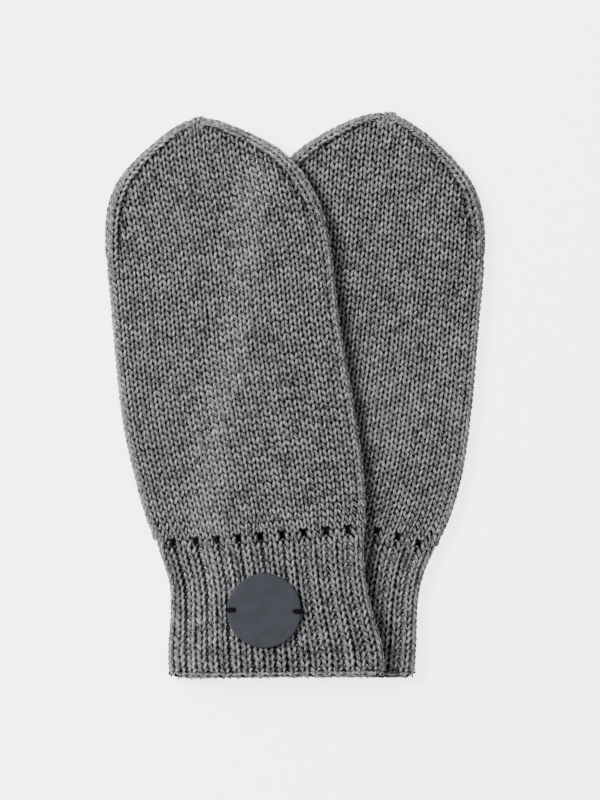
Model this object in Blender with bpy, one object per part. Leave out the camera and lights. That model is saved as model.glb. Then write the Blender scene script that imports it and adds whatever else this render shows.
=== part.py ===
# Pair of knitted baby mittens, laid flat, the left one lying partly on the right one.
# Metres, +Z up. The tips point along +Y and the underside rests on Z = 0.
import functools
import math
from collections import namedtuple

import bpy
import numpy as np

MM = 0.001

# Sizes in millimetres
THICK = 5.2  # both layers of a mitten laid flat
WALL = 2.0  # one layer of knitting
SIDE_WALL = 2.2  # the fold at each side
SIDE_WALL_MOST = 0.75  # and the most it takes of the half width, near the tip
GAP = 0.3  # between neighbouring pieces
CUFF_TOP = 37.4  # the cuff ends here, at its row of eyelets
HEM_ROUND = 0.5  # how far the hem's upper lip is rolled down
TIP_ROUND = 3.4  # length over which the closed tip thins out
TIP_THIN = 0.18  # share of the thickness left at the very tip
TIP_INSIDE = 6.5  # the inside ends this far short of the tip
SLANT_STEP = 0.5  # the side's slant is taken over this much above and below

# Ribs of the cuffs: two knitted columns, then one sunken one, all round
RIBS = 20
FURROW_HALF = 0.95
FURROW_DEEP = 0.65
FURROW_FADE = 0.5  # share of the fold, past its middle, over which they fade out
FURROWS_ASIDE = 5  # on the top, to each side of the middle one

# The left mitten climbs over the edge of the right one
LIFT_SPARE = 0.08  # between the flat faces of two curved skins
LIFT = THICK + GAP + LIFT_SPARE
CLIMB_OUT = 12.5  # it leaves the floor this far outside that edge
CLIMB_IN = 0.6  # and is level this far inside it

# Soft hollows of the upper layer
HOLLOW = 0.32
HOLLOW_LONG = 41.0
HOLLOW_WIDE = 29.0
HOLLOW_TURN = 1.7  # how much further the phase is across than along
HOLLOW_RIM = 8.0  # they fade out this near the sides
HOLLOW_INSIDE = 0.6  # share of their depth on the layer's inside
LEFT_PHASE = 0.4
RIGHT_PHASE = 2.1
WAIST_DEEP = 0.4  # the dip at the row of eyelets
WAIST_HALF = 3.0
WAIST_RIM = 3.0  # the dip reaches this many times nearer to the sides

# Round label on the left cuff
LABEL_X = -8.3
LABEL_Y = -57.86
LABEL_RADIUS = 10.0
LABEL_THICK = 1.2
LABEL_BEVEL = 0.25
LABEL_INNER = 4.5  # a ring of points on its faces, so that they follow the cuff
LABEL_SIDES = 40
THREAD_RADIUS = 0.5
THREAD_IN = 2.3  # reach of each stitch over the label
THREAD_SIDES = 8
THREAD_END = 0.55  # share of the radius left at its ends
THREAD_SHOULDER = 0.75  # the bend over the rim starts this many radii under the top
THREAD_BEND = 0.45  # a point of the bend, as a share of the way in to the rim
THREAD_BEND_LOW = 0.1  # and this many radii under the top
THREAD_OVER = 0.2  # the bend ends this many radii inside the rim
THREAD_CREST = 0.05  # how far it arches over the label's face

# Middle of the pair's box, which becomes the origin
CENTRE_X = 0.061
CENTRE_Y = 0.056

# Points round a section
FLAT_STEPS = 16
UNDER_STEPS = 18
FOLD_STEPS = 5

# Points of the outline that is climbed over: heights in steps, finer at the tip
OUTLINE_STEP = 4.0
OUTLINE_TIP = 140.0
OUTLINE_TIP_STEP = 1.0

# Heights of the left cuff among which the surface under the label is looked up
REST_FROM = 4.0
REST_TO = 36.0
REST_STEP = 0.5

# One row of a mitten: height along it, middle, lean of the row in degrees, half width
Row = namedtuple("Row", "along x y lean half")

LEFT_ROWS = [
    Row(0.0, -4.85, -76.10, 0.5, 27.95),
    Row(1.0, -4.90, -75.10, 0.6, 28.75),
    Row(3.0, -5.01, -73.05, 0.9, 29.10),
    Row(8.0, -5.44, -68.06, 1.6, 28.90),
    Row(14.0, -6.14, -62.08, 2.3, 27.86),
    Row(20.0, -6.85, -56.11, 3.1, 26.90),
    Row(26.0, -7.50, -50.13, 3.6, 26.46),
    Row(32.0, -8.41, -44.18, 4.0, 27.04),
    Row(38.0, -9.28, -38.23, 4.5, 28.17),
    Row(44.0, -10.35, -32.30, 5.0, 29.28),
    Row(50.0, -11.44, -26.37, 5.6, 30.01),
    Row(56.0, -12.48, -20.45, 6.1, 30.46),
    Row(64.0, -13.98, -12.57, 6.5, 30.90),
    Row(74.0, -15.72, -2.70, 7.1, 31.01),
    Row(84.0, -17.28, 7.18, 7.7, 30.75),
    Row(94.0, -18.56, 17.10, 8.2, 30.40),
    Row(104.0, -19.54, 27.05, 8.7, 30.30),
    Row(112.0, -20.40, 35.00, 9.0, 30.20),
    Row(120.0, -21.60, 42.92, 9.2, 29.70),
    Row(126.0, -22.74, 48.83, 9.4, 28.70),
    Row(131.0, -23.85, 53.71, 9.5, 27.20),
    Row(136.0, -24.92, 58.60, 9.6, 24.75),
    Row(139.0, -25.50, 61.55, 9.7, 22.55),
    Row(142.0, -26.00, 64.50, 9.8, 19.55),
    Row(145.0, -26.35, 67.48, 9.8, 15.60),
    Row(147.0, -26.55, 69.47, 9.9, 12.60),
    Row(149.0, -26.75, 71.46, 9.9, 9.20),
    Row(150.5, -26.90, 72.96, 10.0, 6.30),
    Row(151.6, -27.05, 74.05, 10.0, 3.60),
    Row(152.2, -27.15, 74.65, 10.0, 1.60),
]

RIGHT_ROWS = [
    Row(0.0, 4.00, -76.35, 0.0, 27.20),
    Row(1.0, 4.13, -75.35, -0.2, 27.90),
    Row(3.0, 4.37, -73.32, -0.5, 28.08),
    Row(8.0, 4.92, -68.33, -1.3, 27.91),
    Row(14.0, 5.85, -62.36, -2.2, 27.14),
    Row(20.0, 6.80, -56.39, -3.2, 26.36),
    Row(26.0, 7.70, -50.44, -4.5, 26.16),
    Row(32.0, 8.61, -44.50, -5.7, 26.79),
    Row(38.0, 9.68, -38.58, -7.0, 28.15),
    Row(44.0, 11.00, -32.71, -7.5, 29.50),
    Row(50.0, 12.29, -26.82, -8.1, 30.40),
    Row(56.0, 13.47, -20.93, -8.5, 30.96),
    Row(64.0, 14.85, -13.06, -8.5, 31.25),
    Row(74.0, 16.36, -3.16, -8.5, 31.15),
    Row(84.0, 17.76, 6.73, -8.3, 30.79),
    Row(94.0, 18.95, 16.67, -7.8, 30.40),
    Row(104.0, 19.92, 26.63, -7.3, 30.25),
    Row(112.0, 20.74, 34.59, -7.0, 30.20),
    Row(120.0, 21.50, 42.54, -7.0, 29.85),
    Row(126.0, 21.95, 48.53, -7.0, 29.35),
    Row(131.0, 22.30, 53.54, -7.0, 28.25),
    Row(136.0, 22.75, 58.51, -7.0, 26.15),
    Row(139.0, 23.02, 61.51, -7.0, 24.10),
    Row(142.0, 23.25, 64.50, -7.0, 21.30),
    Row(145.0, 23.60, 67.49, -7.0, 17.75),
    Row(147.0, 23.85, 69.47, -7.0, 15.10),
    Row(149.0, 24.10, 71.45, -7.0, 12.10),
    Row(151.0, 24.35, 73.44, -7.0, 8.70),
    Row(152.5, 24.60, 74.92, -7.0, 5.60),
    Row(153.4, 24.80, 75.80, -7.0, 3.00),
    Row(153.9, 24.90, 76.30, -7.0, 1.40),
]

HEM_STEPS = [0.0, 0.8, 2.5]
CUFF_STEPS = [8.0, 14.0, 20.0, 26.0, 32.0]
CUFF_INSIDE = 20.0
HAND_STEPS = [41.0, 45.0, 51.0, 58.0, 66.0, 75.0, 84.0, 93.0, 102.0, 110.0, 117.0, 123.0, 128.0]
TIP_STEPS = [132.5, 136.5, 140.0, 143.0, 145.5, 147.5, 149.2, 150.5, 151.5]
INSIDE_STEPS = [47.0, 58.0, 72.0, 88.0, 104.0, 116.0, 126.0, 134.0, 140.0]

COLOURS = {
    "yarn_grey": ((0.155, 0.155, 0.162, 1.0), 0.92),
    "leather_slate": ((0.075, 0.080, 0.094, 1.0), 0.62),
    "thread_black": ((0.014, 0.014, 0.016, 1.0), 0.70),
}


# Smooth values between the rows of a table
def between(rows, along, column):
    known = np.array([row.along for row in rows])
    value = np.array([getattr(row, column) for row in rows])
    slope = np.gradient(value, known)
    i = int(np.clip(np.searchsorted(known, along) - 1, 0, len(known) - 2))
    width = known[i + 1] - known[i]
    t = float(np.clip((along - known[i]) / width, 0.0, 1.0))
    start = (1 + 2 * t) * (1 - t) ** 2 * value[i] + t * (1 - t) ** 2 * width * slope[i]
    end = t * t * (3 - 2 * t) * value[i + 1] + t * t * (t - 1) * width * slope[i + 1]
    return start + end


def ease(t):
    t = np.clip(t, 0.0, 1.0)
    return t * t * (3 - 2 * t)


# One section of a mitten, laid across it at a height along it
class Section:
    def __init__(self, rows, along):
        self.along = along
        self.middle = np.array([between(rows, along, "x"), between(rows, along, "y")])
        lean = math.radians(between(rows, along, "lean"))
        self.across = np.array([math.cos(lean), math.sin(lean)])
        self.half = between(rows, along, "half")
        wider = between(rows, along - SLANT_STEP, "half")
        narrower = between(rows, along + SLANT_STEP, "half")
        self.slant = math.hypot(1.0, (wider - narrower) / (2 * SLANT_STEP))
        left = (rows[-1].along - along) / TIP_ROUND
        thin = math.sqrt(1 - (1 - min(left, 1.0)) ** 2) if left > 0 else 0.0
        self.thick = THICK * max(thin, TIP_THIN)
        self.run = min(0.5 * THICK * self.slant, self.half)

    def inside(self):
        """The same section of the space between the two layers."""
        inner = Section.__new__(Section)
        inner.__dict__.update(self.__dict__)
        inner.half = self.half - min(SIDE_WALL * self.slant, SIDE_WALL_MOST * self.half)
        inner.thick = self.thick - 2 * WALL
        inner.run = min(0.5 * inner.thick * self.slant, inner.half)
        return inner

    def fold(self):
        """Length of the curve from the flat top to the side's middle."""
        return 0.25 * math.pi * math.sqrt(2 * (self.run**2 + (0.5 * self.thick) ** 2))

    def side(self):
        """Length from the middle of the top to the side's middle."""
        return self.half - self.run + self.fold()

    def ring(self, around):
        """Point and outward direction at a length around from the top's middle."""
        sign = 1.0 if around >= 0 else -1.0
        length, flat, fold = abs(around), self.half - self.run, self.fold()
        if length <= flat:
            return sign * length, THICK / 2 + self.thick / 2, 0.0, 1.0
        if length >= flat + 2 * fold:
            x = max(flat - (length - flat - 2 * fold), 0.0)
            return sign * x, THICK / 2 - self.thick / 2, 0.0, -1.0
        turn = 0.5 * math.pi * (length - flat) / fold
        x = flat + self.run * math.sin(turn)
        z = THICK / 2 + self.thick / 2 * math.cos(turn)
        out = np.array([math.sin(turn) * self.thick / 2, math.cos(turn) * self.run])
        out = out / np.linalg.norm(out)
        return sign * x, z, sign * out[0], out[1]

    def place(self, x, z):
        spot = self.middle + self.across * x
        return np.array([spot[0], spot[1], z])


# The outline of the right mitten, which the left one climbs over
def outline(rows):
    body = np.arange(0.0, OUTLINE_TIP, OUTLINE_STEP)
    tip = np.arange(OUTLINE_TIP, rows[-1].along, OUTLINE_TIP_STEP)
    sections = [Section(rows, height) for height in np.concatenate([body, tip])]
    right = [s.middle + s.across * s.half for s in sections]
    left = [s.middle - s.across * s.half for s in sections]
    return np.array(right + left[::-1])


def inside_by(points, shape):
    """How far each point lies inside the closed shape, negative outside it."""
    a, b = shape, np.roll(shape, -1, axis=0)
    edge = b - a
    off = points[:, None, :] - a[None]
    t = np.clip((off * edge).sum(2) / (edge**2).sum(1), 0.0, 1.0)
    near = np.linalg.norm(off - t[..., None] * edge, axis=2).min(axis=1)
    y = points[:, 1:2]
    spans = (a[:, 1] > y) != (b[:, 1] > y)
    rise = np.where(edge[:, 1] == 0, 1.0, edge[:, 1])
    meets = a[:, 0] + (y - a[:, 1]) / rise * edge[:, 0]
    crossings = (spans & (points[:, 0:1] < meets)).sum(axis=1)
    return np.where(crossings % 2 == 1, near, -near)


def climb(points, shape):
    """Height of the left mitten's underside over the floor."""
    return LIFT * ease((inside_by(points, shape) + CLIMB_OUT) / (CLIMB_OUT + CLIMB_IN))


def hollow(section, x, phase):
    """Depth of the soft hollows of the upper layer."""
    level = max(min(section.half - abs(x), HOLLOW_RIM) / HOLLOW_RIM, 0.0)
    wave = math.sin(2 * math.pi * section.along / HOLLOW_LONG + phase)
    wave = 0.5 + 0.5 * wave * math.cos(2 * math.pi * x / HOLLOW_WIDE + HOLLOW_TURN * phase)
    near = 1 - min(abs(section.along - CUFF_TOP) / WAIST_HALF, 1.0)
    return level * HOLLOW * wave + ease(near) * WAIST_DEEP * min(level * WAIST_RIM, 1.0)


def furrow(section, around):
    """Depth of the sunken columns of the rib at this place, none on the flat underside."""
    repeat = 2 * (2 * (section.half - section.run) + 2 * section.fold()) / RIBS
    off = abs((around + repeat / 2) % repeat - repeat / 2)
    reach = FURROW_FADE * section.fold()
    fade = ease((section.side() + reach - abs(around)) / reach)
    return FURROW_DEEP * max(1 - off / FURROW_HALF, 0.0) * fade


def plain_stations():
    """Places round a section as (part, share): top, fold at the right, underside, fold at the left."""
    top = [("top", -1 + 2 * i / FLAT_STEPS) for i in range(FLAT_STEPS)]
    right = [("right", i / FOLD_STEPS) for i in range(FOLD_STEPS)]
    under = [("under", 1 - 2 * i / UNDER_STEPS) for i in range(UNDER_STEPS)]
    left = [("left", i / FOLD_STEPS) for i in range(FOLD_STEPS)]
    return top + right + under + left


def station_length(section, part, share):
    flat, fold = section.half - section.run, section.fold()
    if part == "top":
        return share * flat
    if part == "right":
        return flat + share * 2 * fold
    if part == "under":
        return math.copysign(flat + 2 * fold + (1 - abs(share)) * flat, share)
    return -(flat + (1 - share) * 2 * fold)


def rib_stations():
    """Places round a ribbed section as (furrow number, offset in mm), then the underside."""
    places = []
    for number in range(-FURROWS_ASIDE, FURROWS_ASIDE + 1):
        for offset in (-FURROW_HALF, 0.0, FURROW_HALF):
            places.append((number, offset))
    return places


def ribbed_lengths(section):
    whole = 2 * (section.half - section.run) + 2 * section.fold()
    repeat = 2 * whole / RIBS
    lengths = [number * repeat + offset for number, offset in rib_stations()]
    first, last = lengths[0], lengths[-1]
    turn_right = np.linspace(last, whole, UNDER_STEPS)[1:]
    turn_left = np.linspace(-whole, first, UNDER_STEPS)[1:-1]
    return lengths + list(turn_right) + list(turn_left)


def mesh_object(name, rings, material, start=None, end=None):
    """A skin over closed rings. start and end are points that close the first and last ring."""
    points = [point for ring in rings for point in ring]
    count = len(rings[0])
    faces = []
    for r in range(len(rings) - 1):
        for i in range(count):
            j = (i + 1) % count
            faces.append((r * count + i, r * count + j, (r + 1) * count + j, (r + 1) * count + i))
    if start is None and end is None:
        last = (len(rings) - 1) * count
        for i in range(count):
            j = (i + 1) % count
            faces.append((last + i, last + j, j, i))
    for tip, base, turned in ((start, 0, True), (end, (len(rings) - 1) * count, False)):
        if tip is None:
            continue
        points.append(tip)
        for i in range(count):
            j = (i + 1) % count
            pair = (base + j, base + i) if turned else (base + i, base + j)
            faces.append((pair[0], pair[1], len(points) - 1))
    mesh = bpy.data.meshes.new(name)
    centred = (np.array(points) - np.array([CENTRE_X, CENTRE_Y, 0.0])) * MM
    mesh.from_pydata(centred.tolist(), [], faces)
    mesh.materials.append(material)
    obj = bpy.data.objects.new(name, mesh)
    bpy.context.scene.collection.objects.link(obj)
    return obj


def raise_over(rings, shape):
    """Adds the climb to every point of the left mitten."""
    if shape is None:
        return rings
    return [
        [point + np.array([0, 0, lift]) for point, lift in zip(ring, climb(np.array(ring)[:, :2], shape))]
        for ring in rings
    ]


def outer_ring(section, lengths, phase, ribbed, lower=0.0):
    ring = []
    for around in lengths:
        x, z, out_x, out_z = section.ring(around)
        depth = max(out_z, 0.0) * (hollow(section, x, phase) + lower)
        x -= out_x * (furrow(section, around) if ribbed else 0.0)
        z -= depth + out_z * (furrow(section, around) if ribbed else 0.0)
        ring.append(section.place(x, z))
    return ring


def inner_ring(section, lengths, phase):
    inner = section.inside()
    whole_out = 2 * (section.half - section.run) + 2 * section.fold()
    whole_in = 2 * (inner.half - inner.run) + 2 * inner.fold()
    ring = []
    for around in lengths:
        x, z, _, out_z = inner.ring(around * whole_in / whole_out)
        z -= HOLLOW_INSIDE * max(out_z, 0.0) * hollow(section, x, phase)
        ring.append(inner.place(x, z))
    return ring


def plain_lengths(section):
    return [station_length(section, part, share) for part, share in plain_stations()]


def cuff(name, rows, phase, shape, material):
    heights = HEM_STEPS + CUFF_STEPS + [CUFF_TOP - GAP / 2]
    outer, inner = [], []
    for height in heights:
        section = Section(rows, height)
        lower = HEM_ROUND * (1 - ease(height / HEM_STEPS[1])) if height < HEM_STEPS[1] else 0.0
        outer.append(outer_ring(section, ribbed_lengths(section), phase, True, lower))
    for height in (heights[-1], CUFF_INSIDE, heights[0]):
        section = Section(rows, height)
        inner.append(inner_ring(section, ribbed_lengths(section), phase))
    return mesh_object(name, raise_over(outer + inner, shape), material)


def hand(name, rows, phase, shape, material):
    tip = rows[-1].along
    stretch = tip / LEFT_ROWS[-1].along
    heights = [CUFF_TOP + GAP / 2] + [h * stretch for h in HAND_STEPS + TIP_STEPS] + [tip]
    outer = []
    for height in heights:
        section = Section(rows, height)
        outer.append(outer_ring(section, plain_lengths(section), phase, False))
    inner = []
    for height in [tip - TIP_INSIDE] + INSIDE_STEPS[::-1] + [CUFF_TOP + GAP / 2]:
        section = Section(rows, height)
        inner.append(inner_ring(section, plain_lengths(section), phase))
    outer, inner = raise_over(outer, shape), raise_over(inner, shape)
    # The skin runs from the closed inside, down its slit, over the rim and up to the closed tip
    return mesh_object(
        name, inner + outer, material, start=np.mean(inner[0], axis=0), end=np.mean(outer[-1], axis=0)
    )


@functools.cache
def left_cuff_sections():
    return [Section(LEFT_ROWS, height) for height in np.arange(REST_FROM, REST_TO, REST_STEP)]


# Height of the ribs' crests of the left cuff at a point of the plan
def left_cuff_top(x, y, shape):
    best = None
    for section in left_cuff_sections():
        off = np.array([x, y]) - section.middle
        up = np.array([-section.across[1], section.across[0]])
        gap = abs(float(off @ up))
        if best is None or gap < best[0]:
            best = (gap, section, float(off @ section.across))
    _, section, across = best
    lift = float(climb(np.array([[x, y]]), shape)[0])
    return THICK - hollow(section, across, LEFT_PHASE) + lift


def label(shape, material):
    rings = []
    bevel = LABEL_BEVEL
    profile = [
        (LABEL_INNER, 0.0),
        (LABEL_RADIUS - bevel, 0.0),
        (LABEL_RADIUS, bevel),
        (LABEL_RADIUS, LABEL_THICK - bevel),
        (LABEL_RADIUS - bevel, LABEL_THICK),
        (LABEL_INNER, LABEL_THICK),
    ]
    for radius, up in profile:
        ring = []
        for i in range(LABEL_SIDES):
            turn = 2 * math.pi * i / LABEL_SIDES
            x = LABEL_X + radius * math.cos(turn)
            y = LABEL_Y + radius * math.sin(turn)
            ring.append(np.array([x, y, left_cuff_top(x, y, shape) + GAP + up]))
        rings.append(ring)
    bottom = np.array([LABEL_X, LABEL_Y, left_cuff_top(LABEL_X, LABEL_Y, shape) + GAP])
    top = bottom + np.array([0, 0, LABEL_THICK])
    return mesh_object("label", rings, material, start=bottom, end=top)


def label_stitch(name, side, shape, material):
    """A short thread from beside the label's rim, up and over onto its face."""
    rim = LABEL_X + side * LABEL_RADIUS
    beside = rim + side * (GAP + THREAD_RADIUS)
    over_label = 2 * GAP + LABEL_THICK + THREAD_RADIUS
    low = left_cuff_top(beside, LABEL_Y, shape) + GAP + THREAD_RADIUS
    high = left_cuff_top(rim, LABEL_Y, shape) + over_label
    crest = left_cuff_top(rim - side * THREAD_IN, LABEL_Y, shape) + over_label + THREAD_CREST
    path = [
        (beside, low),
        (beside, high - THREAD_SHOULDER * THREAD_RADIUS),
        (rim + side * THREAD_BEND * (GAP + THREAD_RADIUS), high - THREAD_BEND_LOW * THREAD_RADIUS),
        (rim - side * THREAD_OVER * THREAD_RADIUS, high + THREAD_CREST),
        (rim - side * (THREAD_IN - THREAD_RADIUS), crest),
        (rim - side * THREAD_IN, crest),
    ]
    rings = []
    for k, (x, z) in enumerate(path):
        before, after = path[max(k - 1, 0)], path[min(k + 1, len(path) - 1)]
        ahead = np.array([after[0] - before[0], after[1] - before[1]])
        ahead /= np.linalg.norm(ahead)
        radius = THREAD_RADIUS * (THREAD_END if k in (0, len(path) - 1) else 1.0)
        ring = []
        for i in range(THREAD_SIDES):
            turn = 2 * math.pi * (i + 0.5) / THREAD_SIDES
            up, over = radius * math.cos(turn), side * radius * math.sin(turn)
            ring.append(np.array([x - ahead[1] * up, LABEL_Y + over, z + ahead[0] * up]))
        rings.append(ring)
    first, last = np.mean(rings[0], axis=0), np.mean(rings[-1], axis=0)
    return mesh_object(name, rings, material, start=first, end=last)


def materials():
    made = {}
    for name, (colour, roughness) in COLOURS.items():
        material = bpy.data.materials.new(name)
        material.use_nodes = True
        shader = material.node_tree.nodes["Principled BSDF"]
        shader.inputs["Base Color"].default_value = colour
        shader.inputs["Roughness"].default_value = roughness
        made[name] = material
    return made


def faces_out(obj):
    """Turns a closed mesh whose faces point inwards."""
    obj.data.calc_loop_triangles()
    volume = 0.0
    for triangle in obj.data.loop_triangles:
        a, b, c = (obj.data.vertices[i].co for i in triangle.vertices)
        volume += a.dot(b.cross(c))
    if volume < 0:
        obj.data.flip_normals()


for old in list(bpy.data.objects):
    bpy.data.objects.remove(old, do_unlink=True)

paint = materials()
under_shape = outline(RIGHT_ROWS)
built = [
    hand("left_hand", LEFT_ROWS, LEFT_PHASE, under_shape, paint["yarn_grey"]),
    cuff("left_cuff", LEFT_ROWS, LEFT_PHASE, under_shape, paint["yarn_grey"]),
    hand("right_hand", RIGHT_ROWS, RIGHT_PHASE, None, paint["yarn_grey"]),
    cuff("right_cuff", RIGHT_ROWS, RIGHT_PHASE, None, paint["yarn_grey"]),
    label(under_shape, paint["leather_slate"]),
    label_stitch("label_stitch_left", -1, under_shape, paint["thread_black"]),
    label_stitch("label_stitch_right", 1, under_shape, paint["thread_black"]),
]
for piece in built:
    faces_out(piece)
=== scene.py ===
# Looks of a pair of knitted baby mittens laid flat: yarn stitches, walls, label and stage.
import copy
import math

import bpy
import numpy as np
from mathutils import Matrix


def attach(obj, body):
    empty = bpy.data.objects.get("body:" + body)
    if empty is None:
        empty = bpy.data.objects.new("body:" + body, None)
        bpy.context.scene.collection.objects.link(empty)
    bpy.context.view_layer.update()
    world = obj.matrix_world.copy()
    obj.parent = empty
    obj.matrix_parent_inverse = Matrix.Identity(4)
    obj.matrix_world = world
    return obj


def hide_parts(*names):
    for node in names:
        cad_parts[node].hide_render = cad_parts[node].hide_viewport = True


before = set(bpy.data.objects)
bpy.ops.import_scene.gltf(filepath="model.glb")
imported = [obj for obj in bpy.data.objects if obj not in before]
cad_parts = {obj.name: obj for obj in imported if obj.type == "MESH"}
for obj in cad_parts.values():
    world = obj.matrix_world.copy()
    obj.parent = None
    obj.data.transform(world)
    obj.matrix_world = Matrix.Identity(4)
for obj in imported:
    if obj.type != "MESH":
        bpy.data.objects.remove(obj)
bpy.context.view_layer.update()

bl_info = {
    "name": "Knitted mittens",
    "version": (1, 0, 0),
    "blender": (4, 5, 0),
    "location": "3D View > Sidebar > Mittens",
    "description": "Knits a pair of mittens stitch by stitch round their packed solids",
    "category": "Add Mesh",
}

MM = 0.001

# Sizes of the solids, in millimetres
THICK = 5.2
WALL = 2.0
SIDE_WALL = 2.2
CUFF_TOP = 37.4
TIP_ROUND = 3.4
TIP_THIN = 0.18
TIP_INSIDE = 6.5
RIBS = 20
FURROW_DEEP = 0.65
LIFT = 5.58
CLIMB_OUT = 12.5
CLIMB_IN = 0.6
HOLLOW = 0.32
HOLLOW_LONG = 41.0
HOLLOW_WIDE = 29.0
LEFT_PHASE = 0.4
RIGHT_PHASE = 2.1
WAIST_DEEP = 0.4
WAIST_HALF = 3.0
LABEL_X = -8.3
LABEL_Y = -57.86
LABEL_RADIUS = 10.0
LABEL_THICK = 1.2
GAP = 0.3
THREAD_ASIDE = {-1: 0.3, 1: -0.1}  # how far up the plan each thread lies from the label's middle
CENTRE = np.array([0.061, 0.056, 0.0])  # middle of the pair's plan

# Layout of the knitting
HAND_STITCHES = 56
SHAPING = 116.0  # the tip is shaped above this height
BAND = 2.06  # width of the bands along the shaped edges, in columns
BAND_WIDTH = 0.8  # width of a band's chain, in columns
CUFF_ROWS = 21
HEM = 1.0  # height at which the first row of stitches starts
EYELET = 37.7  # height of the eyelets' middles
EYELET_HALF_WIDE = 0.6
EYELET_HALF_HIGH = 1.2
EYELET_EDGE = 1.05  # distance of the upright yarns from an eyelet's middle
SETTLE = 5.3  # height over which the hand's columns find their places above the ribs
FURROW = 0.78  # width of the sunken purled columns
PROUD = 0.7  # how far the yarn stands out of the solids along the edges
HAND_MIDDLE = 92.0  # height at which a hand's knitting is split into two pieces
LEVELLED = 0.25  # how much of the climb's slope each single stitch leaves out
EDGE_LIGHT = 0.7  # painted light: how much lighter the yarns along the edges are painted, where they lie close
HEM_LIGHT = 0.45  # painted light: how much lighter the cast-on edge is painted than sunken yarn
RIM_LIGHT = 0.55  # the same for the chain on the rim
TIP_LIGHT = 0.5  # the same for the loops drawn together on the tip
RIGHT_BOW = 3.6  # how far the right mitten's rows rise in the middle, near the eyelets

RIB_LEAN = 16.0  # degrees by which the two columns of a rib lean apart
RIB_SPREAD = 0.30  # how far a rib's columns move apart beside an eyelet
EYELET_REACH = 2.3  # height over which the rows make room for an eyelet
FURROW_OPENS = 3.5  # height over which a furrow deepens above the hem
FURROW_CLOSES = 7.0  # height over which it closes again below its eyelet
STRETCHED = 12.0  # length round from the middle over which the furrows are pulled flat
PULLED_FLAT = 0.85  # share of a furrow's depth that is pulled flat
PURL_SINK = 0.15  # how deep the purled loops lie where their furrow is flat
PURL_LOW = 0.39  # part of a furrow's depth that the purled loops don't follow
ROW_OVERLAP = 1.12  # height of the cuff's stitches over the height of a row
COVERED = 4.0  # stitches further inside the left mitten's outline than this are hidden
HIDDEN = -0.6  # stitches whose outward direction points further down than this are hidden
SEEN_YARN = (11, 6)  # steps along a loop and sides of its yarn
HIDDEN_YARN = (8, 4)
SEEDS = {"left": 11, "right": 23}

# Spread of the stitches' unevenness
UNEVEN_PLACE = 0.05
UNEVEN_DEPTH = 0.03
UNEVEN_TURN = math.radians(3.5)
UNEVEN_SIZE = 0.035

# Walls: how deep they lie under the yarn's crests, and how much deeper in the furrows
WALL_DEEP = 1.0
WALL_FURROW = 0.55

# The label's threads: half thickness, flatness, turn from ring to ring and strands
THREAD_RADIUS = 0.49
THREAD_FLAT = 1.15
THREAD_TURN = 0.42
THREAD_STRANDS = 3

# Stage
FLOOR_REACH = 3.0
FLOOR_LOW = -0.0003
FLOOR_GLOW = 3.3
WORLD_LIGHT = 0.75
LENS = 200.0
SENSOR = 36.0
VIEW_TALL = 0.2162  # height of what the camera sees on the floor
VIEW_MIDDLE = (0.00129, -0.00127, 0.005)
LIGHTS = [
    ("key", (-0.58, 0.26, 0.77), 0.50, 22.0),
    ("fill", (0.45, -0.25, 0.9), 0.7, 0.5),
]

# Loops drawn together on the tip: place round, way past the tip, width and depth
TIP_LOOPS = [
    (0.0, -0.5, 0.9, 0.9),
    (1.6, -0.1, 0.9, 0.3),
    (-1.6, -0.1, 0.9, 0.3),
    (-0.8, 0.6, 0.8, 0.1),
    (0.3, 1.0, 0.8, 0.05),
    (1.3, 1.3, 0.75, 0.1),
]

# Outlines: height along the mitten, the middle's place across and up the plan, lean in degrees, half width
LEFT_ROWS = [
    (0.0, -4.85, -76.10, 0.5, 27.95),
    (1.0, -4.90, -75.10, 0.6, 28.75),
    (3.0, -5.01, -73.05, 0.9, 29.10),
    (8.0, -5.44, -68.06, 1.6, 28.90),
    (14.0, -6.14, -62.08, 2.3, 27.86),
    (20.0, -6.85, -56.11, 3.1, 26.90),
    (26.0, -7.50, -50.13, 3.6, 26.46),
    (32.0, -8.41, -44.18, 4.0, 27.04),
    (38.0, -9.28, -38.23, 4.5, 28.17),
    (44.0, -10.35, -32.30, 5.0, 29.28),
    (50.0, -11.44, -26.37, 5.6, 30.01),
    (56.0, -12.48, -20.45, 6.1, 30.46),
    (64.0, -13.98, -12.57, 6.5, 30.90),
    (74.0, -15.72, -2.70, 7.1, 31.01),
    (84.0, -17.28, 7.18, 7.7, 30.75),
    (94.0, -18.56, 17.10, 8.2, 30.40),
    (104.0, -19.54, 27.05, 8.7, 30.30),
    (112.0, -20.40, 35.00, 9.0, 30.20),
    (120.0, -21.60, 42.92, 9.2, 29.70),
    (126.0, -22.74, 48.83, 9.4, 28.70),
    (131.0, -23.85, 53.71, 9.5, 27.20),
    (136.0, -24.92, 58.60, 9.6, 24.75),
    (139.0, -25.50, 61.55, 9.7, 22.55),
    (142.0, -26.00, 64.50, 9.8, 19.55),
    (145.0, -26.35, 67.48, 9.8, 15.60),
    (147.0, -26.55, 69.47, 9.9, 12.60),
    (149.0, -26.75, 71.46, 9.9, 9.20),
    (150.5, -26.90, 72.96, 10.0, 6.30),
    (151.6, -27.05, 74.05, 10.0, 3.60),
    (152.2, -27.15, 74.65, 10.0, 1.60),
]

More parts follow.
